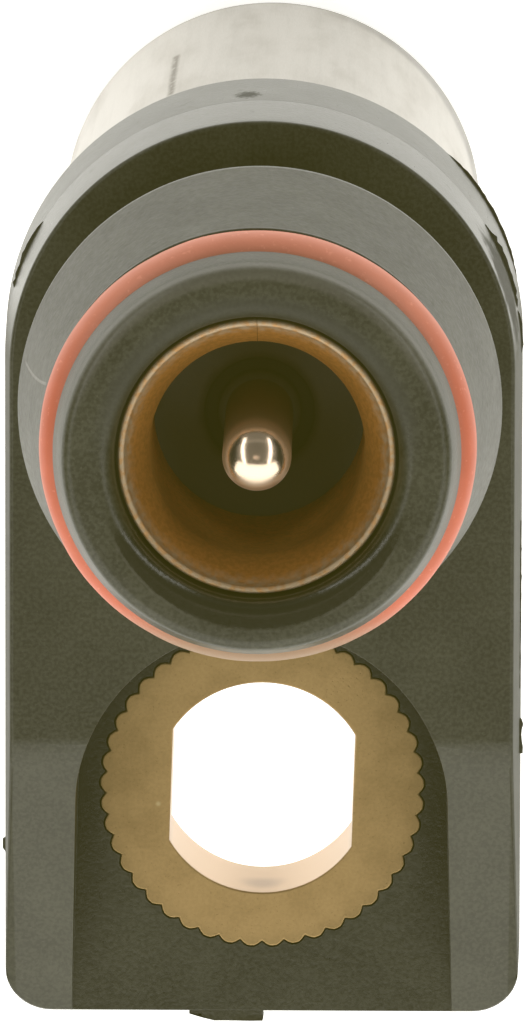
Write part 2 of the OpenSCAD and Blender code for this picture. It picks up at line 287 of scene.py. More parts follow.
def arch(name: str, radius: float, y: float, leg: float, flare: float, corner: float, steps: int) -> Bench:
    """A flat face with a round head towards +Y and two straight legs.

    Args:
        name: Name of the piece.
        radius: Radius of the head.
        y: Place of the head's middle.
        leg: Length of the legs.
        flare: How much each leg spreads at its end.
        corner: Rounding of the two corners at the end, or 0.
        steps: Points on a full circle of the head.

    Returns:
        The face, at height 0, pointing up.
    """
    bench = Bench(name, lambda: bpy.ops.mesh.primitive_circle_add(
        vertices=steps, radius=radius * MM, location=metres((0, y, 0))))
    with bench.edit():
        bench.pick(Pick.POINTS, lambda p, n: p.y < y - 0.001)
        bpy.ops.mesh.delete(type="VERT")
        bench.pick(Pick.POINTS, lambda p, n: abs(p.y - y) < 0.001)
        bpy.ops.mesh.extrude_vertices_move(TRANSFORM_OT_translate={"value": metres((0, -leg, 0))})
        bench.stretch((1 + flare / radius, 1, 1))
        bpy.ops.mesh.edge_face_add()
        if corner:
            bpy.ops.mesh.bevel(affect="VERTICES", offset=corner * MM, segments=10)
        bench.whole()
        bpy.ops.mesh.edge_face_add()
        if bmesh.from_edit_mesh(bench.obj.data).faces[:][0].normal.z < 0:
            bpy.ops.mesh.flip_normals()
    return bench


# Shader nodes


def math_node(operation: str, swapped: bool = False) -> Callable[..., "Sock"]:
    """Makes an operator for sockets.

    Args:
        operation: What the Math node does.
        swapped: Whether the other value comes first.

    Returns:
        A method that adds one Math node.
    """

    def method(one: "Sock", two: "Value" = 0.0) -> "Sock":
        """Adds the node and gives back its output."""
        values = (two, one) if swapped else (one, two)
        return one.net.node("ShaderNodeMath", {"operation": operation}, dict(enumerate(values)))

    return method


class Sock:
    """A shader socket that takes part in Python expressions."""

    def __init__(self, net: "Net", socket: bpy.types.NodeSocket) -> None:
        """Keeps the socket and its node tree."""
        self.net, self.socket = net, socket

    __add__, __radd__ = math_node("ADD"), math_node("ADD", True)
    __sub__, __rsub__ = math_node("SUBTRACT"), math_node("SUBTRACT", True)
    __mul__, __rmul__ = math_node("MULTIPLY"), math_node("MULTIPLY", True)
    __truediv__, __pow__ = math_node("DIVIDE"), math_node("POWER")
    __abs__, wave, most = math_node("ABSOLUTE"), math_node("SINE"), math_node("MAXIMUM")


Value = Union[Sock, float]
Color = Union[Sock, Triple]


class Net:
    """The node tree of one material, with its object coordinates in millimetres."""

    def __init__(self, name: str) -> None:
        """Makes an empty material."""
        self.material = bpy.data.materials.new(name)
        self.material.use_nodes = True
        self.tree = self.material.node_tree
        self.tree.nodes.clear()
        place = self.node("ShaderNodeTexCoord", {}, {}, "Object")
        self.place = self.node("ShaderNodeVectorMath", {"operation": "SCALE"}, {0: place, "Scale": 1 / MM})
        self.x, self.y, self.z = (
            self.node("ShaderNodeSeparateXYZ", {}, {0: self.place}, axis) for axis in "XYZ")

    def node(self, kind: str, settings: dict[str, object], inputs: dict[Union[int, str], object],
             output: Union[int, str] = 0) -> Sock:
        """Adds one node.

        Args:
            kind: Blender's name for the node's type.
            settings: Properties, which are set first.
            inputs: Values or links, by socket name or number.
            output: Socket to give back.

        Returns:
            The chosen output.
        """
        made = self.tree.nodes.new(kind)
        for key, value in settings.items():
            setattr(made, key, value)
        for key, value in inputs.items():
            socket = made.inputs[key]
            if isinstance(value, Sock):
                self.tree.links.new(value.socket, socket)
            elif socket.type == "RGBA":
                socket.default_value = (*value, 1.0)
            else:
                socket.default_value = value
        return Sock(self, made.outputs[output])

    def grain(self, size: float, detail: float = 2.0, stretch: Triple = (1, 1, 1)) -> Sock:
        """Noise from 0 to 1.

        Args:
            size: Size of its features in millimetres.
            detail: Octaves.
            stretch: How much longer the features are along each axis.

        Returns:
            The noise.
        """
        scale = tuple(1 / (size * s) for s in stretch)
        at = self.node("ShaderNodeVectorMath", {"operation": "MULTIPLY"}, {0: self.place, 1: scale})
        return self.node("ShaderNodeTexNoise", {}, {"Vector": at, "Scale": 1.0, "Detail": detail})

    def fade(self, value: Value, low: float, high: float) -> Sock:
        """Goes smoothly from 0 at one value to 1 at another."""
        rising = low < high
        inputs = {"Value": value, "From Min": min(low, high), "From Max": max(low, high),
                  "To Min": 0.0 if rising else 1.0, "To Max": 1.0 if rising else 0.0}
        return self.node("ShaderNodeMapRange", {"interpolation_type": "SMOOTHSTEP"}, inputs)

    def spots(self, size: float, detail: float, low: float, high: float, stretch: Triple = (1, 1, 1)) -> Sock:
        """Noise that goes from 0 at one of its values to 1 at another."""
        return self.fade(self.grain(size, detail, stretch), low, high)

    def wander(self, size: float, detail: float, reach: float) -> Sock:
        """Noise about 0, over a reach in millimetres."""
        return (self.grain(size, detail) - 0.5) * reach

    def mix(self, one: Color, two: Color, share: Value) -> Sock:
        """Mixes two colours."""
        return self.node("ShaderNodeMix", {"data_type": "RGBA"}, {0: share, 6: one, 7: two}, 2)

    def ring(self, y: float = 0.0) -> Sock:
        """Distance from a line along Z at x = 0 and the given y."""
        across = self.y - y
        return (self.x * self.x + across * across) ** 0.5

    def patch(self, centre: Triple, reach: Triple, edge: float, wobble: Value = 0.0) -> Sock:
        """A rounded patch.

        Args:
            centre: Its middle.
            reach: Half its size along each axis.
            edge: Share of its size over which it fades.
            wobble: Added to the distance, to make its outline uneven.

        Returns:
            1 inside and 0 outside.
        """
        axes = zip((self.x, self.y, self.z), centre, reach)
        parts = [((axis - c) / r) * ((axis - c) / r) for axis, c, r in axes]
        return self.fade((parts[0] + parts[1] + parts[2]) ** 0.5 + wobble, 1.0, 1.0 - edge)

    def shade(self, color: Color, rough: Value, height: Sock, metal: Value,
              **fixed: object) -> bpy.types.Material:
        """Ends the tree in one surface shader.

        Args:
            color: Base colour.
            rough: Roughness.
            height: Relief in millimetres.
            metal: Metallic share.
            fixed: Other sockets by name.

        Returns:
            The finished material.
        """
        bump = self.node("ShaderNodeBump", {}, {"Strength": 1.0, "Distance": MM, "Height": height})
        inputs = {"Base Color": color, "Roughness": rough, "Metallic": metal, "Normal": bump}
        inputs.update({key.replace("_", " "): value for key, value in fixed.items()})
        surface = self.node("ShaderNodeBsdfPrincipled", {}, inputs)
        end = self.tree.nodes.new("ShaderNodeOutputMaterial")
        self.tree.links.new(surface.socket, end.inputs["Surface"])
        return self.material


# Finishes


@dataclass(frozen=True)
class Plastic:
    """A moulded plastic with grain, cloudy tone and fine flecks."""

    name: str
    color: Triple
    cloud: Triple
    fleck: Triple
    rough: float = 0.37
    grain: float = 0.14
    relief: float = 0.008

    def tone(self, net: Net) -> Sock:
        """Base colour: clouds and grain between two tones, and flecks of filler."""
        speckle = net.spots(self.grain, 2.0, 0.35, 0.65)
        cloudy = net.mix(self.color, self.cloud, net.spots(2.6, 4.0, 0.35, 0.75) * 0.4 + speckle * 0.6)
        return net.mix(cloudy, self.fleck, net.spots(self.grain * 0.8, 1.0, 0.66, 0.78) * 0.5)

    def make(self) -> bpy.types.Material:
        """Builds the material."""
        net = Net(self.name)
        fine = net.grain(self.grain, 3.0)
        rough = self.rough - 0.06 + fine * 0.06 + net.grain(1.4, 3.0) * 0.08
        return net.shade(self.tone(net), rough, fine * self.relief, 0.0)


@dataclass(frozen=True)
class BodyPlastic(Plastic):
    """The housing's black plastic, with its parting line, scuffs and one nick, and painted shade, shadow and
    highlights.
    """

    parting: float = 5.0
    wall: float = 9.0
    floor: float = 4.4
    bolt_y: float = -16.05
    recess: float = 6.7
    # Dark tone of the seam and nick, also used for painted shade and shadow.
    seam: Triple = (0.008, 0.008, 0.005)
    scuff: Triple = (0.06, 0.057, 0.045)
    # Pale tone of rubbed spots, also used for painted highlights.
    rubbed: Triple = (0.20, 0.19, 0.17)

    def make(self) -> bpy.types.Material:
        """Builds the material."""
        net = Net(self.name)
        fine = net.grain(self.grain, 3.0)
        flow = net.grain(0.9, 3.0, (1.0, 1.0, 5.0))
        head = net.y.most(0.0)
        crown = net.fade(net.y, 0.0, 3.0)
        wall = net.fade((net.x * net.x + head * head) ** 0.5, self.wall - 0.07, self.wall)
        front = wall * net.fade(net.z, self.parting - 0.03, self.parting + 0.03)
        wander = net.wander(1.1, 2.0, 0.16)
        line = net.fade(abs(net.z - self.parting + wander), 0.10, 0.03) * wall
        nick = net.patch((-0.58, 9.3, 3.7), (0.52, 0.6, 0.85), 0.7, net.wander(0.16, 2.0, 1.2))
        bent = (net.z - 18.8) * (net.z - 18.8) * 0.02 + 1.62
        scratch = net.fade(abs(net.y - bent), 0.08, 0.02) * net.fade(net.x, -6.0, -7.0)
        scratch = scratch * net.fade(net.z, 16.5, 17.2) * net.fade(net.z, 22.5, 21.8)
        worn = net.spots(0.5, 4.0, 0.64, 0.72) * 0.5
        arch = (net.y - self.bolt_y).most(0.0)
        reach = (net.x * net.x + arch * arch) ** 0.5 + net.wander(0.7, 3.0, 0.5)
        # Painted shade on the bolt recess's floor, darkest near its walls towards the arch.
        corner = net.fade(reach, self.recess - 1.5, self.recess - 0.4) * net.fade(net.y, -23.5, -17.0)
        recess_shade = net.fade(net.z, self.floor + 0.06, self.floor + 0.02)
        recess_shade = recess_shade * net.fade(reach, self.recess + 0.5, self.recess + 0.3) * (corner * 0.6 + 0.4)
        # Painted shadow: a darker, rougher patch on the upper right side wall next to the flash.
        torn = net.wander(0.6, 4.0, 0.8)
        dull = net.patch((8.9, 3.2, 6.7), (1.6, 3.0, 1.8), 0.45, torn) * wall
        cone = net.fade(net.z, 15.7, 15.9) * net.fade(net.z, 22.85, 22.7)
        front_end = net.fade(net.z, 25.2, 25.4)
        # Painted shade on the upper side of the mouth's rounded lip.
        lip = net.fade(net.ring(), 5.7, 5.3) * front_end * net.fade(net.y, -1.0, 3.0)
        color = net.mix(self.tone(net), self.scuff, worn * 0.35 + net.fade(flow, 0.5, 0.8) * 0.12)
        # A darker, smoother crescent below the mouth, bounded by a circle shifted down from the mouth's own.
        oval = net.ring(-0.55) + net.wander(0.8, 3.0, 0.08)
        dark_crescent = net.fade(oval, 5.32, 5.16) * net.fade(net.y, -1.5, -3.2) * front_end
        # Painted highlight: thin pale lines along the crescent's lower edge, to the left and right.
        shine = net.fade(abs(oval - 5.27), 0.07, 0.02) * net.fade(abs(net.x), 1.8, 2.6)
        shine = shine * net.fade(net.y, -2.5, -3.5) * front_end
        # Painted highlight on the top of the nose's rounded front edge.
        top_edge_highlight = net.fade(net.ring(), 6.0, 6.35) * net.fade(net.y, 0.5, 4.5) * net.fade(net.z, 25.9, 26.1)
        # The rubbed tone paints the real scratch and also the painted highlights.
        color = net.mix(color, self.rubbed, (scratch * 0.7).most(top_edge_highlight * 0.35).most(shine * 0.12))
        # The seam tone darkens the real parting line and nick, the painted shade and shadow, and the dark
        # crescent.
        dark = (line * 0.3).most(nick * 0.8).most(recess_shade * 0.95).most(dull * 0.8)
        color = net.mix(color, self.seam, dark.most(lip * 0.6).most(dark_crescent * 0.95))
        rough = self.rough - 0.10 + fine * 0.12 + net.grain(1.4, 3.0) * 0.07 + worn * 0.1 + nick * 0.3
        rough = rough - wall * crown * 0.06 + wall * (1.0 - crown) * 0.25 - recess_shade * 0.14
        rough = rough + dull * 0.35 + lip * 0.25 - dark_crescent * 0.14
        rough = rough + cone * (net.spots(0.25, 4.0, 0.3, 0.7) * 0.06 + 0.08)
        height = fine * self.relief + flow * 0.004 - line * 0.006 - nick * 0.05 - scratch * 0.01
        gloss = front * crown * 0.26 * (1.0 - nick) * (1.0 - dull)
        return net.shade(color, rough, height, 0.0, Coat_Weight=gloss, Coat_Roughness=0.22)


@dataclass(frozen=True)
class FloorPlastic(Plastic):
    """The socket floor's plastic, with painted shade in the moat round the pin."""

    moat: Pair = (1.3, 2.05)
    moat_shade_tone: Triple = (0.001, 0.001, 0.0005)

    def make(self) -> bpy.types.Material:
        """Builds the material."""
        net = Net(self.name)
        fine = net.grain(self.grain, 3.0)
        radius = net.ring() + net.wander(0.5, 3.0, 0.2)
        inner, outer = self.moat
        # Painted shade in the moat round the pin.
        moat_shade = net.fade(radius, inner - 0.1, inner + 0.2) * net.fade(radius, outer + 0.2, outer - 0.2)
        rough = self.rough - 0.06 + fine * 0.06 + net.grain(1.4, 3.0) * 0.08 + moat_shade * 0.3
        return net.shade(net.mix(self.tone(net), self.moat_shade_tone, moat_shade), rough, fine * self.relief, 0.0)


@dataclass(frozen=True)
class Metal:
    """A metal with drawing or grinding lines and a dull film."""

    name: str
    color: Triple
    film: Triple
    rough: float = 0.35
    lines: Triple = (1.0, 1.0, 14.0)
    fine: float = 0.07
    relief: float = 0.002
    dull: float = 0.5

    def make(self) -> bpy.types.Material:
        """Builds the material."""
        net = Net(self.name)
        drawn = net.grain(self.fine, 3.0, self.lines)
        stain = net.spots(1.8, 5.0, 0.40, 0.72)
        color = net.mix(self.color, self.film, stain * self.dull)
        rough = self.rough - 0.08 + drawn * 0.10 + stain * 0.08
        return net.shade(color, rough, drawn * self.relief, 1.0)


@dataclass(frozen=True)
class BarrelSteel(Metal):
    """The barrel's satin steel, with one dark scratch and faint rings, and painted dark reflections down its
    middle, round its tip and along its right-hand edge.
    """

    # Dark tone of the scratch, also used for the painted dark reflections.
    scratch_and_reflection_tone: Triple = (0.10, 0.09, 0.08)
    tip_z: float = -31.4

    def make(self) -> bpy.types.Material:
        """Builds the material."""
        net = Net(self.name)
        drawn = net.grain(self.fine, 3.0, self.lines)
        rings = net.spots(0.5, 3.0, 0.58, 0.80, (30.0, 30.0, 1.0))
        stain = net.spots(1.6, 5.0, 0.42, 0.75, (1.0, 1.0, 5.0))
        wander = net.wander(0.7, 2.0, 0.12)
        gap = net.spots(0.8, 2.0, 0.15, 0.50, (0.3, 0.3, 1.0))
        scratch = net.fade(abs(net.x + 3.63 + wander), 0.20, 0.02) * net.fade(net.y, 5.0, 5.5) * gap
        scratch = scratch * net.fade(net.z, -21.2, -20.4) * net.fade(net.z, -9.2, -10.0)
        streak = net.spots(0.35, 4.0, 0.42, 0.70, (1.0, 1.0, 30.0))
        # Painted dark reflection down the middle of the barrel.
        dark_middle_reflection = net.fade(abs(net.x - 0.6), 7.5, 1.5)
        # Painted dark reflection round the tip end and along the right-hand edge.
        rim = net.fade(net.z, -30.1, -30.5).most(net.fade(net.x, 8.17, 8.24))
        # Painted dark reflection along the upper right edge near the tip.
        dark_edge_reflection = net.fade((net.z - self.tip_z) * net.y + net.wander(1.0, 3.0, 4.0), 24.0, 12.0)
        dark_edge_reflection = dark_edge_reflection * net.fade(net.x, 1.5, 5.0) * net.fade(net.y, 0.5, 1.6)
        dark_edge_reflection = dark_edge_reflection * net.fade(net.z, -20.0, -24.0)
        # The film share holds the real stains, rings and streaks, and also the painted dark reflection down
        # the middle.
        film = stain * self.dull + rings * 0.03 + streak * 0.12 + dark_middle_reflection * 0.8
        scratch_and_reflection_marks = (scratch * 0.5).most(rim * 0.45).most(dark_edge_reflection * 0.6)
        color = net.mix(net.mix(self.color, self.film, film), self.scratch_and_reflection_tone, scratch_and_reflection_marks)
        rough = self.rough - 0.08 + drawn * 0.10 + stain * 0.08 + scratch * 0.2
        return net.shade(color, rough, drawn * self.relief - rings * 0.001 - scratch * 0.03, 1.0)


@dataclass(frozen=True)
class BushBrass(Metal):
    """The bush's dull brass, turned on its face and darker in the knurl, with one painted glint."""

    axis_y: float = -16.05
    face_z: float = 4.4
    bore: float = 3.9
    bright: Triple = (0.55, 0.46, 0.26)
    pressed: Triple = (0.55, 0.355, 0.195)
    darker_tone: Triple = (0.26, 0.15, 0.085)

    def make(self) -> bpy.types.Material:
        """Builds the material."""
        net = Net(self.name)
        radius = net.ring(self.axis_y)
        uneven = net.grain(0.6, 3.0)
        turning = (radius * 42.0 + uneven * 9.0).wave() * net.spots(2.2, 2.0, 0.45, 0.70)
        bore = net.fade(net.z, self.face_z - 0.02, self.face_z - 0.10)
        bore = bore * net.fade(radius, self.bore + 0.3, self.bore + 0.1)
        stain = net.spots(1.2, 5.0, 0.38, 0.70)
        # Painted highlight: a small bright glint on the face.
        painted_glint = net.patch((-3.78, -16.65, 4.4), (0.14, 0.14, 0.3), 0.9)
        pits = net.spots(0.10, 2.0, 0.62, 0.72)
        sides = net.fade(abs(net.x), 2.5, 4.6) * 0.35 + net.spots(0.13, 2.0, 0.35, 0.65) * 0.3
        film = stain * self.dull + pits * 0.3 + sides + net.fade(radius, 5.3, 5.75) * 0.4
        color = net.mix(self.color, self.film, film)
        smear = net.patch((0.0, self.axis_y - self.bore, 2.8), (1.1, 0.6, 1.2), 0.8)
        color = net.mix(net.mix(color, self.bright, painted_glint * 0.5), self.pressed, bore)
        color = net.mix(color, self.darker_tone, smear * bore * 0.6)
        rough = self.rough + (stain * 0.10 + pits * 0.1) * (1.0 - bore) - painted_glint * 0.1 - bore * 0.22
        height = (turning * self.relief + uneven * 0.004 - pits * 0.004) * (1.0 - bore)
        return net.shade(color, rough, height, 1.0)


@dataclass(frozen=True)
class SleeveBronze(Metal):
    """The sleeve's copper alloy, brown inside with painted light deeper down, and rubbed bright on its rim.
    """

    rim: Triple = (0.48, 0.37, 0.25)
    # Brighter tone deeper down the bore, used as painted light.
    deep: Triple = (1.0, 0.5, 0.12)
    rim_z: float = 25.9

    def make(self) -> bpy.types.Material:
        """Builds the material."""
        net = Net(self.name)
        drawn = net.grain(self.fine, 3.0, self.lines)
        stain = net.spots(0.8, 5.0, 0.40, 0.70)
        rubbed = net.fade(net.z + net.wander(0.25, 3.0, 0.6), self.rim_z - 0.75, self.rim_z - 0.05)
        rubbed = rubbed * (net.spots(0.24, 4.0, 0.36, 0.60) * 0.6 + 0.4)
        mottle = net.spots(0.17, 3.0, 0.35, 0.65)
        # Painted light: the colour grows brighter and more orange deeper down the bore.
        depth_lit_tone = net.mix(self.color, self.deep, net.fade(net.z, self.rim_z - 1.5, self.rim_z - 6.0))
        color = net.mix(net.mix(depth_lit_tone, self.film, stain * 0.2 + mottle * 0.4), self.rim, rubbed)
        rough = self.rough - 0.06 + drawn * 0.12 + stain * 0.06 + rubbed * 0.08
        return net.shade(color, rough, drawn * self.relief + net.grain(0.5, 2.0) * 0.01, 0.8)


@dataclass(frozen=True)
class PinPlate(Metal):
    """The pin's bright plating, worn to bronze below the tip, with a painted highlight on the dome's lower
    side and painted shade down the shaft.
    """

    tip_z: float = 26.7
    shaft_shade: Triple = (0.03, 0.02, 0.008)

    def make(self) -> bpy.types.Material:
        """Builds the material."""
        net = Net(self.name)
        drawn = net.grain(self.fine, 3.0, self.lines)
        worn = net.fade(net.z + net.wander(0.4, 3.0, 0.2), self.tip_z - 0.34, self.tip_z - 0.66)
        # Painted highlight: on the dome's lower side the bronze wear is left off, so the bright plating shows
        # there.
        below = net.fade(net.y, -0.3, -0.9)
        worn = worn * (1.0 - below * net.fade(net.z, self.tip_z - 1.2, self.tip_z - 1.0))
        color = net.mix(self.color, self.film, worn * 0.9)
        # Painted shade darkening the shaft below the dome.
        color = net.mix(color, self.shaft_shade, net.fade(net.z, self.tip_z - 0.95, self.tip_z - 2.4) * 0.6)
        rough = self.rough + drawn * 0.05 + worn * 0.35 + below * 0.22
        return net.shade(color, rough, drawn * self.relief + net.grain(0.6, 2.0) * 0.006, 1.0 - worn * 0.8)


@dataclass(frozen=True)
class SealRubber:
    """Red silicone with a mould line, a bloom of dust, painted light along its top and painted shade along
    its bottom.
    """

    name: str
    color: Triple
    deep: Triple
    # Pale tone of dust, also used for painted light on the top.
    dust_and_top_light: Triple
    darker_tone: Triple = (0.30, 0.20, 0.12)
    rough: float = 0.42

    def make(self) -> bpy.types.Material:
        """Builds the material."""
        net = Net(self.name)
        fine = net.grain(0.09, 3.0)
        cloud = net.spots(1.5, 4.0, 0.35, 0.70)
        dust = net.spots(0.22, 4.0, 0.60, 0.74)
        # The pale share is real dust and also painted light along the seal's top.
        pale = dust * 0.35 + net.fade(net.y, 1.0, 6.0) * 0.55
        color = net.mix(net.mix(self.color, self.deep, cloud * 0.5), self.dust_and_top_light, pale)
        # Painted shade along the seal's bottom.
        color = net.mix(color, self.darker_tone, net.fade(net.y, -5.0, -7.2) * 0.95)
        rough = self.rough + fine * 0.08 + dust * 0.12
        return net.shade(color, rough, fine * 0.004 + cloud * 0.01, 0.0)


@dataclass(frozen=True)
class CoilWire(Metal):
    """Enamelled wire laid turn by turn."""

    pitch: float = 0.16

    def make(self) -> bpy.types.Material:
        """Builds the material."""
        net = Net(self.name)
        turns = abs((net.z * (math.pi / self.pitch) + net.grain(1.0) * 0.6).wave())
        cloud = net.spots(1.0, 4.0, 0.4, 0.7)
        color = net.mix(net.mix(self.film, self.color, turns), self.film, cloud * self.dull)
        return net.shade(color, self.rough + cloud * 0.08, turns * 0.04, 1.0, Coat_Weight=0.4)


@dataclass(frozen=True)
class Palette:
    """The finishes of the sensor."""

    body: BodyPlastic = BodyPlastic(
        "moulded_black", (0.014, 0.014, 0.007), (0.048, 0.048, 0.031), (0.07, 0.066, 0.048))
    insulator: FloorPlastic = FloorPlastic(
        "socket_floor", (0.020, 0.019, 0.008), (0.028, 0.025, 0.010), (0.05, 0.04, 0.02), 0.45)
    barrel: BarrelSteel = BarrelSteel(
        "satin_steel", (0.60, 0.565, 0.52), (0.35, 0.325, 0.29), 0.34, fine=0.05, dull=0.2)
    bush: BushBrass = BushBrass(
        "dull_brass", (0.385, 0.262, 0.12), (0.29, 0.199, 0.092), 0.52, relief=0.0004, dull=0.3)
    seal: SealRubber = SealRubber(
        "red_silicone", (0.68, 0.158, 0.088), (0.58, 0.125, 0.067), (0.92, 0.36, 0.25))
    sleeve: SleeveBronze = SleeveBronze("drawn_bronze", (0.56, 0.26, 0.06), (0.29, 0.13, 0.026), 0.54)
    pin: PinPlate = PinPlate("bright_plating", (0.82, 0.64, 0.48), (0.17, 0.095, 0.042), 0.17)
    iron: Metal = Metal("ground_iron", (0.50, 0.49, 0.47), (0.34, 0.32, 0.30), 0.38, (6.0, 1.0, 1.0))
    fibre: Plastic = Plastic(
        "pressed_fibre", (0.55, 0.44, 0.26), (0.46, 0.36, 0.20), (0.70, 0.62, 0.45), 0.65, 0.3)
    nylon: Plastic = Plastic(
        "natural_nylon", (0.68, 0.64, 0.52), (0.60, 0.56, 0.44), (0.76, 0.72, 0.62), 0.45)
    wire: CoilWire = CoilWire("enamelled_wire", (0.72, 0.32, 0.12), (0.34, 0.12, 0.04), 0.30)
    film: Plastic = Plastic(
        "wrapped_film", (0.62, 0.42, 0.06), (0.54, 0.34, 0.04), (0.75, 0.58, 0.16), 0.22, 0.5)
    magnet: Metal = Metal(
        "cast_magnet", (0.36, 0.36, 0.37), (0.22, 0.22, 0.23), 0.45, (1.0, 1.0, 1.0), 0.2, 0.006)
    posts: Metal = Metal("tinned_brass", (0.72, 0.60, 0.34), (0.62, 0.58, 0.50), 0.28)
    resin: Plastic = Plastic(
        "cast_resin", (0.035, 0.030, 0.022), (0.05, 0.042, 0.03), (0.08, 0.07, 0.05), 0.16, 0.8)


# Pieces


@dataclass
class Bush:
    """The knurled brass bush in the tail."""

    y: float = -16.05
    length: float = 4.4
    radius: float = 5.9
    depth: float = 0.2
    teeth: int = 45
    flats: float = 6.6
    bore: float = 7.8
    turn: float = -2.0
    tooth: Triple = (0.06, 0.45, 1.0)
    edge: float = 0.07

    def blank(self, name: str, over: float = 0.0, room: float = 0.0) -> Bench:
        """The knurled outside, with rounded teeth and no hole.

        Args:
            name: Name of the piece.
            over: How far it passes the bush's ends, where it is used to cut with.
            room: How much larger its radius is than the bush's.

        Returns:
            The blank.
        """
        steps = 2 * len(self.tooth)
        bench = rod(name, self.radius + room, -over, self.length + over, self.y, self.teeth * steps)
        pitch = math.tau / self.teeth
        with bench.edit():
            for part, share in enumerate(self.tooth, 1):

                def in_row(point: Vector, normal: Vector, row: int = part) -> bool:
                    """Tells whether a point is so many steps away from the nearest tooth's tip."""
                    along = math.atan2(point.x, point.y - self.y) / pitch
                    return abs(abs(along - round(along)) * steps - row) < 0.25

                bench.pick(Pick.POINTS, in_row)
                factor = 1 - self.depth * share / self.radius
                bench.stretch((factor, factor, 1), (0, self.y, 0))
        return bench

    def hole(self) -> Bench:
        """The round hole with two flat sides."""
        bench = rod("bolt_hole", self.bore / 2, -1.0, self.length + 1.0, self.y, 96)
        with bench.edit():
            for side in (-1, 1):
                angle = math.radians(self.turn)
                outward = Vector((math.cos(angle), math.sin(angle), 0)) * side
                bench.whole()
                bpy.ops.mesh.bisect(plane_co=Vector((0, self.y * MM, 0)) + outward * self.flats / 2 * MM,
                                    plane_no=outward, use_fill=True, clear_outer=True)
            bench.close()
        return bench

    def build(self, palette: Palette) -> None:
        """Makes the bush and puts it in the tail."""
        bench = self.blank("bush")
        bench.combine(self.hole(), Cut.TAKE_AWAY)
        bench.soften(self.edge, 2, 60)
        bench.finish(40)
        bench.hand_over(["flange_bush"], "bush_brass", palette.bush.make())


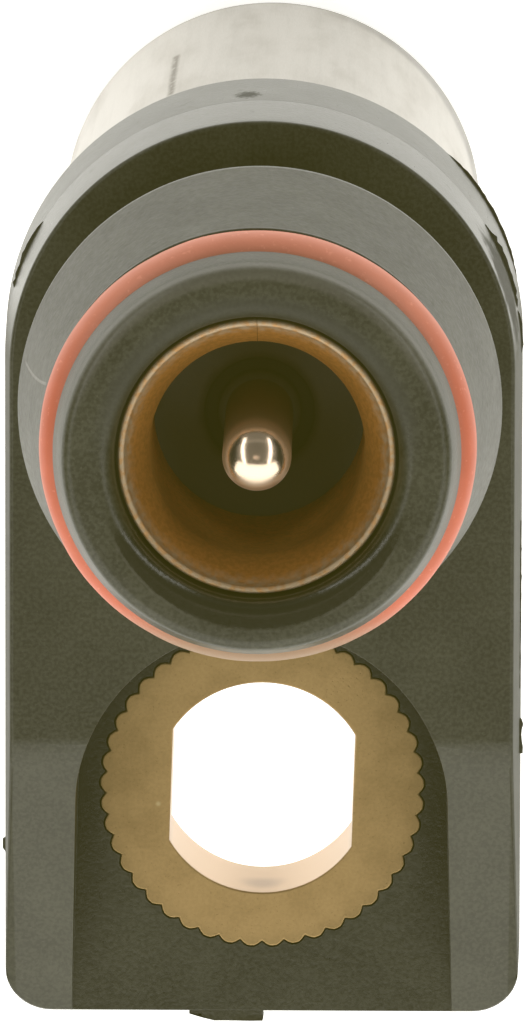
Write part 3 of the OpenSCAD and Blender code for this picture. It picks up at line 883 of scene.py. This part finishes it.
@dataclass
class Housing:
    """The black moulding: connector nose, body and bolt tail."""

    radius: float = 9.38
    broad: float = 1.005
    spread: float = 0.05
    thickness: float = 8.4
    parting: float = 5.0
    rear_draft: float = 0.14
    front_draft: float = 0.29
    edge: float = 0.15
    bolt_y: float = -16.05
    tail_end: float = 24.5
    corner: float = 1.8
    floor: float = 4.4
    rail_start: float = -13.95
    rail_blend: float = 0.6
    recess_radius: float = 6.7
    recess_flare: float = 0.25
    neck: float = 7.25
    neck_top: float = 15.6
    collar: float = 8.42
    collar_edge: float = 0.4
    collar_front: float = 7.35
    groove: Pair = (22.9, 25.1)
    groove_radius: float = 5.83
    land: float = 6.9
    land_taper: float = 0.4
    top: float = 26.5
    front_round: float = 0.42
    mouth: float = 4.79
    mouth_round: float = 0.6
    mouth_floor: float = 25.3
    bore: float = 4.69
    bore_floor: float = 12.5
    land_edge: float = 0.08
    groove_corner: float = 0.15
    collar_round: float = 0.04
    recess_edge: float = 0.07
    grip: Pair = (8.05, 4.0)
    relief: Pair = (8.35, 0.3)
    bush_room: float = 0.04
    fin_root: float = 0.1
    fin_thickness: float = 0.09
    gate_middle: Pair = (-1.3, 3.75)
    gate_size: Triple = (2.7, 0.76, 1.2)
    burr_middle: Triple = (-9.24, -18.45, 3.76)
    burr_size: Triple = (0.46, 1.15, 0.12)

    def body(self) -> Bench:
        """The tombstone body with drafted sides, rounded front edges and sloping rails."""
        bench = arch("housing", self.radius, 0.0, self.tail_end, self.spread, self.corner, 168)
        with bench.edit():
            bench.whole()
            bench.stretch((self.broad, 1, 1))
            front = self.thickness - self.parting
            bench.raise_face([(self.rear_draft, self.parting), (self.front_draft, front)])
            bench.cap()
            bench.close()
            fall = Vector((0, -self.tail_end - self.rail_start, self.floor - self.thickness))
            bench.whole()
            bpy.ops.mesh.bisect(
                plane_co=metres((0, self.rail_start, self.thickness)),
                plane_no=Vector((0, fall.z, -fall.y)).normalized(), use_fill=True, clear_outer=True)
            bend = (self.rail_start, self.thickness)
            bench.pick(Pick.EDGES, lambda p, n: max(abs(p.y - bend[0]), abs(p.z - bend[1])) < 0.02)
            bpy.ops.mesh.bevel(offset=self.rail_blend * MM, segments=4)
            bench.close()
        bench.soften(self.edge, 3, 40)
        return bench

    def recess(self) -> Bench:
        """The room round the bush, open at the tail's end."""
        bench = arch("bolt_recess", self.recess_radius, self.bolt_y, self.tail_end + self.bolt_y + 0.5,
                     self.recess_flare, 0.0, 120)
        with bench.edit():
            bench.whole()
            bench.shift((0, 0, self.floor))
            bpy.ops.mesh.extrude_region_move(TRANSFORM_OT_translate={"value": metres((0, 0, self.thickness))})
            bench.cap()
            bench.close()
        return bench

    def nose(self) -> Bench:
        """The connector nose with its snap collar, seal groove and rounded lip."""
        low, high = self.groove
        slope = math.atan2(self.land_taper, self.top - high)
        setback = self.land_taper + self.front_round * (1 - math.sin(slope)) / math.cos(slope)
        lip, front, edge, bend = self.mouth_round, self.front_round, self.land_edge, self.collar_round
        rim, corner = self.collar - bend, self.groove_corner
        bed, foot = self.groove_radius + corner, self.parting + 1
        return turned("connector_nose", [
            (0, self.bore_floor), (self.bore, self.bore_floor), (self.bore, self.mouth_floor),
            (self.mouth, self.mouth_floor), *arc((self.mouth + lip, self.top - lip), lip, 180, 90, 8),
            *arc((self.land - setback, self.top - front), front, 90, math.degrees(slope), 6),
            *arc((self.land - edge, high + edge), edge, 10, -90, 3),
            (bed, high), *arc((bed, high - corner), corner, 90, 180, 3),
            *arc((bed, low + corner), corner, 180, 270, 3),
            *arc((self.collar_front - edge, low - edge), edge, 90, 8, 3),
            *arc((rim, self.neck_top + self.collar_edge), bend, 9, 0, 2),
            *arc((rim, self.neck_top + bend), bend, 0, -90, 4),
            (self.neck, self.neck_top), (self.neck, foot), (0, foot)], 192)

    def fin(self, name: str, path: list[Pair], reach: float, seed: int, height: float,
            ragged: float = 0.55) -> Bench:
        """A ragged fin of flash along the parting line.

        Args:
            name: Name of the piece.
            path: Points along the line, on the body's side.
            reach: How far the fin stands out.
            seed: Seed of its ragged edge.
            height: Height of the fin.
            ragged: Share of its reach by which its edge wanders.

        Returns:
            The fin, rooted in the body.
        """
        bench = Bench(name, lambda: bpy.ops.mesh.primitive_plane_add(size=MM))
        with bench.edit():
            bench.chain([(x, y, height) for x, y in path])
            bench.whole()
            middle = (0, max(-30.0, min(0.0, sum(y for _, y in path) / len(path))), height)
            bpy.ops.mesh.extrude_edges_move()
            span = max(math.hypot(x, y - middle[1]) for x, y in path)
            factor = 1 + (reach + self.fin_root) / span
            bench.stretch((factor, factor if middle[1] > -0.5 else 1.0, 1), middle)
            bpy.ops.transform.vertex_random(offset=reach * ragged * MM, uniform=0.0, normal=0.0, seed=seed)
            bench.stretch((1, 1, 0.25), (0, 0, height))
            bench.close()
        bench.modify("SOLIDIFY", thickness=self.fin_thickness * MM, offset=-1.0)
        return bench

    def flash(self) -> list[Bench]:
        """Fins of flash on the right, round the upper right and on the left."""
        root = self.radius * self.broad - self.rear_draft - self.fin_root

        def bow(start: float, end: float) -> list[Pair]:
            """Points round the head between two angles."""
            steps = int(abs(end - start) / 1.1)
            sinks = [root - 0.2 * abs(2 * i / steps - 1) ** 4 for i in range(steps + 1)]
            angles = [math.radians(start + (end - start) * i / steps) for i in range(steps + 1)]
            return [(r * math.cos(a), r * math.sin(a)) for r, a in zip(sinks, angles)]

        def side(x: float, start: float, end: float) -> list[Pair]:
            """Points down one side between two places."""
            steps = max(3, int(abs(end - start) / 0.2))
            return [(x, start + (end - start) * i / steps) for i in range(steps + 1)]

        return [
            self.fin("flash_upper", bow(32, 9), 0.12, 3, self.parting),
            self.fin("flash_lower", bow(12, -1), 0.08, 5, self.parting - 0.05),
            self.fin("flash_rear", bow(48, 9), 0.22, 17, 0.15, 0.12),
            self.fin("flash_left", bow(167, 147), 0.10, 8, self.parting + 0.05),
            self.fin("flash_side", side(root, -6.0, -12.2), 0.06, 13, self.parting),
            self.fin("flash_burr", side(root, -13.3, -14.6), 0.12, 21, self.parting - 0.1),
        ]

    def gate(self) -> Bench:
        """The stub of the broken-off gate under the tail."""
        x, z = self.gate_middle
        bench = block("gate_stub", (x, -self.tail_end + 0.13, z), self.gate_size)
        with bench.edit():
            bench.whole()
            bpy.ops.mesh.subdivide(number_cuts=5)
            end = -self.tail_end - 0.25
            bench.pick(Pick.POINTS, lambda p, n: p.x < -2.5 and p.y < -self.tail_end - 0.1)
            bench.shift((0, 0.30, 0))
            bench.pick(Pick.POINTS, lambda p, n: -2.5 < p.x < -2.0 and p.y < -self.tail_end - 0.2)
            bench.shift((0, 0.15, 0))
            bench.pick(Pick.POINTS, lambda p, n: p.y < -self.tail_end - 0.05)
            bpy.ops.transform.vertex_random(offset=0.05 * MM, uniform=0.0, seed=4)
            bench.pick(Pick.POINTS, lambda p, n: p.y < end)
            bench.stretch((1, 0, 1), (0, end, 0))
            bench.close()
        return bench

    def burr(self) -> Bench:
        """The burr on the tail's left side."""
        bench = block("side_burr", self.burr_middle, self.burr_size)
        with bench.edit():
            bench.pick(Pick.FACES, lambda p, n: n.x < -0.9)
            bench.stretch((1, 0.3, 0.6), (-9.47, -18.2, 3.76))
            bench.whole()
            bpy.ops.mesh.subdivide(number_cuts=3)
            bench.pick(Pick.POINTS, lambda p, n: -9.46 < p.x < -9.3)
            bpy.ops.transform.vertex_random(offset=0.03 * MM, uniform=0.0, seed=6)
            bench.close()
        return bench

    def build(self, bush: Bush, palette: Palette) -> None:
        """Makes the moulding.

        Args:
            bush: The bush that it is moulded round.
            palette: The finishes.
        """
        bench = self.body()
        bench.combine(self.nose(), Cut.WELD)
        bench.combine(self.recess(), Cut.TAKE_AWAY)
        bench.soften(self.recess_edge, 2, 50)
        bench.combine(bush.blank("bush_seat", 0.6, self.bush_room), Cut.TAKE_AWAY)
        bench.combine(rod("barrel_seat", self.grip[0], -1.0, self.grip[1]), Cut.TAKE_AWAY)
        bench.combine(rod("seat_relief", self.relief[0], -1.0, self.relief[1]), Cut.TAKE_AWAY)
        bench.take_in([*self.flash(), self.gate(), self.burr()])
        bench.finish(32)
        bench.hand_over(["housing"], "black_plastic", palette.body.make())


@dataclass
class Barrel:
    """The steel cup behind the body."""

    radius: float = 8.25
    length: float = 31.4
    wall: float = 0.6
    tip: float = 0.8
    rounding: float = 0.8
    grip: Pair = (8.05, 4.0)
    core: float = 2.0
    edge: float = 0.06
    inner_round: float = 0.2

    def build(self, palette: Palette) -> None:
        """Makes the barrel."""
        end, inner = -self.length, self.radius - self.wall
        grip, top = self.grip
        outer_bend, inner_bend = self.rounding, self.inner_round
        bench = turned("barrel", [
            (self.core, end), *arc((self.radius - outer_bend, end + outer_bend), outer_bend, -90, 0, 8),
            (self.radius, -self.edge), (self.radius - self.edge, 0.0), (grip, 0.0), (grip, top),
            (inner, top), *arc((inner - inner_bend, end + self.tip + inner_bend), inner_bend, 0, -90, 4),
            (self.core, end + self.tip), (self.core, end)], 192)
        bench.finish()
        bench.hand_over(["barrel_cup"], "barrel_steel", palette.barrel.make())


@dataclass
class Socket:
    """The coaxial socket: sleeve, pin and insulator, and the seal round the nose."""

    seal_radius: float = 6.63
    seal_cord: float = 1.6
    seal_z: float = 23.75
    seal_grip: float = 0.9975
    seal_shift: Triple = (0.015, -0.02, 0.0)
    seal_line: float = 0.05
    seal_wave: Pair = (3.0, 0.06)
    sleeve: float = 4.69
    sleeve_bore: float = 3.65
    sleeve_top: float = 25.9
    sleeve_low: float = 12.5
    rim: float = 0.24
    funnel: float = 1.5
    seam: float = 0.2
    floor: float = 17.05
    foot: float = 11.5
    pin: float = 1.17
    pin_top: float = 26.7
    pin_dome: float = 1.0
    moat: Pair = (1.47, 1.87)
    moat_depth: float = 0.4
    pin_tail: float = 0.7
    tail_low: float = 1.6

    def seal(self, palette: Palette) -> None:
        """The O-ring, slightly uneven, with a mould line round its outside."""
        bench = Bench("seal_ring", lambda: bpy.ops.mesh.primitive_torus_add(
            location=metres((0, 0, self.seal_z)), major_segments=192, minor_segments=36,
            major_radius=self.seal_radius * MM, minor_radius=self.seal_cord / 2 * MM))
        with bench.edit():
            outer, middle = self.seal_radius + self.seal_cord / 2, (0, 0, self.seal_z)

            def outermost(depth: float, half: float) -> Test:
                """Makes a test for what lies round the outside, so deep and so far up or down."""
                return lambda p, n: math.hypot(p.x, p.y) > outer - depth and abs(p.z - self.seal_z) < half

            bench.pick(Pick.EDGES, outermost(0.004, 0.001))
            bpy.ops.mesh.bevel(offset=self.seal_line * MM, segments=2)
            bench.pick(Pick.POINTS, outermost(0.02, 0.01))
            bench.stretch((1.002, 1.002, 1), middle)
            bench.whole()
            bench.stretch((self.seal_grip, self.seal_grip, 1), middle)
            bench.shift(self.seal_shift)
            bench.close()
        uneven = bpy.data.textures.new("seal_unevenness", "CLOUDS")
        length, height = self.seal_wave
        uneven.noise_scale = length * MM
        bench.modify("DISPLACE", texture=uneven, texture_coords="LOCAL", strength=height * MM, mid_level=0.5)
        bench.finish(60)
        bench.hand_over(["connector_seal"], "seal_rubber", palette.seal.make())

    def shield(self, palette: Palette) -> None:
        """The sleeve with its funnel mouth, rounded rim and seam."""
        mouth = self.sleeve - self.rim
        turn = self.rim / 2
        low, bore = self.sleeve_low, self.sleeve_bore
        funnel = [(bore + (mouth - 0.02 - bore) * (1 - i / 12) ** 1.5,
                   self.sleeve_top - 0.22 - self.funnel * 1.15 * i / 12) for i in range(13)]
        bench = turned("shield_sleeve_lined", [
            (self.sleeve, low), *arc((self.sleeve - turn, self.sleeve_top - turn), turn, 0, 165, 8),
            *funnel, (bore, low), (self.sleeve, low)], 192)
        slit = block("sleeve_seam", (0, 4.2, 19.0), (self.seam * 0.08, 2.0, 20.0))
        bench.combine(slit, Cut.TAKE_AWAY)
        bench.finish(40)
        bench.hand_over(["shield_sleeve"], "shield_bronze", palette.sleeve.make())

    def contact(self, palette: Palette) -> None:
        """The centre pin with its domed tip and thin tail."""
        low = self.pin_top - self.pin_dome
        dome = [(self.pin * math.cos(a), low + self.pin_dome * math.sin(a))
                for a in (math.radians(i * 7.5) for i in range(13))]
        bench = turned("contact_pin", [
            (0, self.tail_low), (self.pin_tail - 0.1, self.tail_low), (self.pin_tail, self.tail_low + 0.1),
            (self.pin_tail, self.floor), (self.pin, self.floor), *dome[:-1], (0, self.pin_top)], 96)
        bench.finish()
        bench.hand_over(["centre_pin"], "pin_tin", palette.pin.make())

    def insulator(self, palette: Palette) -> None:
        """The socket's floor, with a moat round the pin."""
        foot_radius = (self.sleeve_bore + self.sleeve) / 2
        inner, outer = self.moat
        bed = self.floor - self.moat_depth
        bench = turned("socket_insulator", [
            (self.pin_tail, self.foot), (foot_radius, self.foot), (foot_radius, self.sleeve_low),
            (self.sleeve_bore, self.sleeve_low), (self.sleeve_bore, self.floor),
            (self.sleeve_bore - 0.12, self.floor - 0.05), (outer + 0.06, self.floor - 0.05),
            (outer, self.floor - 0.11), (outer - 0.02, bed), (inner + 0.02, bed), (inner, self.floor - 0.06),
            (inner - 0.06, self.floor), (self.pin_tail, self.floor), (self.pin_tail, self.foot)], 120)
        bench.finish()
        bench.hand_over(["pin_insulator"], "insulator_plastic", palette.insulator.make())

    def build(self, palette: Palette) -> None:
        """Makes the socket and the seal."""
        self.shield(palette)
        self.contact(palette)
        self.insulator(palette)
        self.seal(palette)


@dataclass
class Inside:
    """The coil, the magnet and the wiring, which keep their CAD shapes."""

    def dress(self, palette: Palette) -> None:
        """Gives each sealed-in node its finish."""
        finishes = {
            palette.iron: ("pole_core", "flux_plate"), palette.fibre: ("tip_washer",),
            palette.nylon: ("coil_bobbin", "magnet_holder"),
            palette.wire: ("coil_winding", "start_lead", "finish_lead"),
            palette.film: ("winding_tape",), palette.magnet: ("magnet",),
            palette.posts: ("signal_post", "ground_post", "signal_strip", "ground_strip"),
            palette.resin: ("potting_fill",),
        }
        for finish, nodes in finishes.items():
            material = finish.make()
            for node in nodes:
                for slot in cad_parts[node].material_slots:
                    slot.material = material
                LOG.info("%s: %s", node, finish.name)


# Studio


def facing(place: Vector, back: Vector, across: Vector) -> Matrix:
    """Stands a camera or a light in its place.

    Args:
        place: The place, in metres.
        back: Direction away from what it faces.
        across: Direction of its width.

    Returns:
        Its matrix.
    """
    return Matrix.Translation(place) @ Matrix((across, back.cross(across), back)).transposed().to_4x4()


@dataclass(frozen=True)
class Panel:
    """A soft light with an even face."""

    name: str
    toward: Triple
    distance: float
    size: Pair
    long_axis: Triple
    radiance: float
    tint: Triple = (1.0, 1.0, 1.0)

    def hang(self) -> None:
        """Places the light so that it faces the object."""
        data = bpy.data.lights.new(self.name, "AREA")
        data.shape = "RECTANGLE"
        data.size, data.size_y = self.size
        data.energy = self.radiance * math.pi * self.size[0] * self.size[1]
        data.color = self.tint
        light = bpy.data.objects.new(self.name, data)
        back = Vector(self.toward).normalized()
        across = Vector(self.long_axis)
        across = (across - back * across.dot(back)).normalized()
        light.matrix_world = facing(back * self.distance, back, across)
        light.visible_camera = False
        bpy.context.collection.objects.link(light)


@dataclass
class Studio:
    """Camera, floor and light."""

    place: Triple = (3.2, 53.06, 323.2)
    up: Triple = (-0.00421, 0.98335, -0.18162)
    back: Triple = (0.0097, 0.18168, 0.98328)
    lens: float = 315.4
    floor_z: float = -31.42
    floor_glow: float = 0.66
    surround: Triple = (0.02, 0.02, 0.02)
    veil: Triple = (0.028, 0.025, 0.0035)
    glow: Triple = (0.085, 0.075, 0.03)
    glow_size: float = 6.5
    panels: tuple[Panel, ...] = (
        Panel("front_panel", (0.0, -0.763, 0.646), 0.9, (3.0, 1.05), (1, 0, 0), 1.75),
        Panel("left_strip", (-0.652, 0.327, 0.683), 0.8, (1.18, 0.1), (-0.017, -1.08, 0.497), 4.0),
        Panel("right_strip", (0.652, 0.327, 0.683), 0.8, (1.18, 0.1), (0.017, -1.08, 0.497), 4.0),
        Panel("ceiling", (0.0, 0.40, 1.0), 0.9, (3.4, 1.2), (1, 0, 0), 0.12),
        Panel("back_wall", (0.0, 0.95, 0.3), 0.9, (1.5, 0.8), (1, 0, 0), 0.15),
        Panel("catch_light", (-0.02, 0.03, 1.0), 0.9, (0.22, 0.09), (1, 0, 0), 1.0, (1.0, 0.85, 0.75)),
    )

    def camera(self) -> None:
        """Sets up the camera at the photograph's viewpoint."""
        data = bpy.data.cameras.new("camera")
        data.lens, data.sensor_width = self.lens, 36.0
        data.clip_start, data.clip_end = 0.01, 50.0
        camera = bpy.data.objects.new("camera", data)
        back = Vector(self.back).normalized()
        right = Vector(self.up).cross(back).normalized()
        camera.matrix_world = facing(Vector(metres(self.place)), back, right)
        bpy.context.collection.objects.link(camera)
        bpy.context.scene.camera = camera

    def floor(self) -> None:
        """Lays the pale floor, which glows a little as a light table does."""
        bpy.ops.object.select_all(action="DESELECT")
        bpy.ops.mesh.primitive_plane_add(size=16.0, location=(0, 0, self.floor_z * MM))
        floor = bpy.context.object
        floor.name = "floor"
        net = Net("light_table")
        mottle = net.grain(40.0, 2.0)
        floor.data.materials.append(net.shade(
            net.mix((0.80, 0.80, 0.80), (0.84, 0.84, 0.84), mottle), 0.6, mottle * 0.001, 0.0,
            Emission_Color=(1.0, 1.0, 1.0), Emission_Strength=self.floor_glow))

    def light(self) -> None:
        """Sets the surround and hangs the panels."""
        world = bpy.data.worlds.new("surround")
        world.use_nodes = True
        world.node_tree.nodes["Background"].inputs["Color"].default_value = (*self.surround, 1.0)
        bpy.context.scene.world = world
        for panel in self.panels:
            panel.hang()
        bpy.context.scene.view_settings.view_transform = "Standard"

    def haze(self) -> None:
        """Adds the faint warm veil and glow that so bright a table throws into the lens."""
        scene = bpy.context.scene
        scene.use_nodes = True
        tree = scene.node_tree
        tree.nodes.clear()
        picture = tree.nodes.new("CompositorNodeRLayers").outputs["Image"]
        soft = tree.nodes.new("CompositorNodeBlur")
        soft.filter_type, soft.use_relative = "GAUSS", True
        soft.factor_x, soft.factor_y = self.glow_size, self.glow_size * IMAGE_SIZE[0] / IMAGE_SIZE[1]
        tree.links.new(picture, soft.inputs["Image"])

        def blend(kind: str, one: Picture, two: Union[Picture, Triple]) -> Picture:
            """Blends a picture with another one or with a colour."""
            node = tree.nodes.new("CompositorNodeMixRGB")
            node.blend_type = kind
            tree.links.new(one, node.inputs[1])
            if isinstance(two, tuple):
                node.inputs[2].default_value = (*two, 1.0)
            else:
                tree.links.new(two, node.inputs[2])
            return node.outputs["Image"]

        glow = blend("MULTIPLY", soft.outputs["Image"], self.glow)
        end = tree.nodes.new("CompositorNodeComposite")
        tree.links.new(blend("ADD", blend("ADD", picture, glow), self.veil), end.inputs["Image"])

    def set_up(self) -> None:
        """Makes the whole studio."""
        self.camera()
        self.floor()
        self.light()
        self.haze()


def main() -> None:
    """Builds the sensor and its studio."""
    logging.basicConfig(level=logging.INFO, format="%(name)s %(message)s")
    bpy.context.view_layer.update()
    palette = Palette()
    Studio().set_up()
    bush = Bush()
    Housing().build(bush, palette)
    bush.build(palette)
    Barrel().build(palette)
    Socket().build(palette)
    Inside().dress(palette)
    bpy.ops.object.select_all(action="DESELECT")
    bpy.context.view_layer.update()


if __name__ == "__main__":
    main()
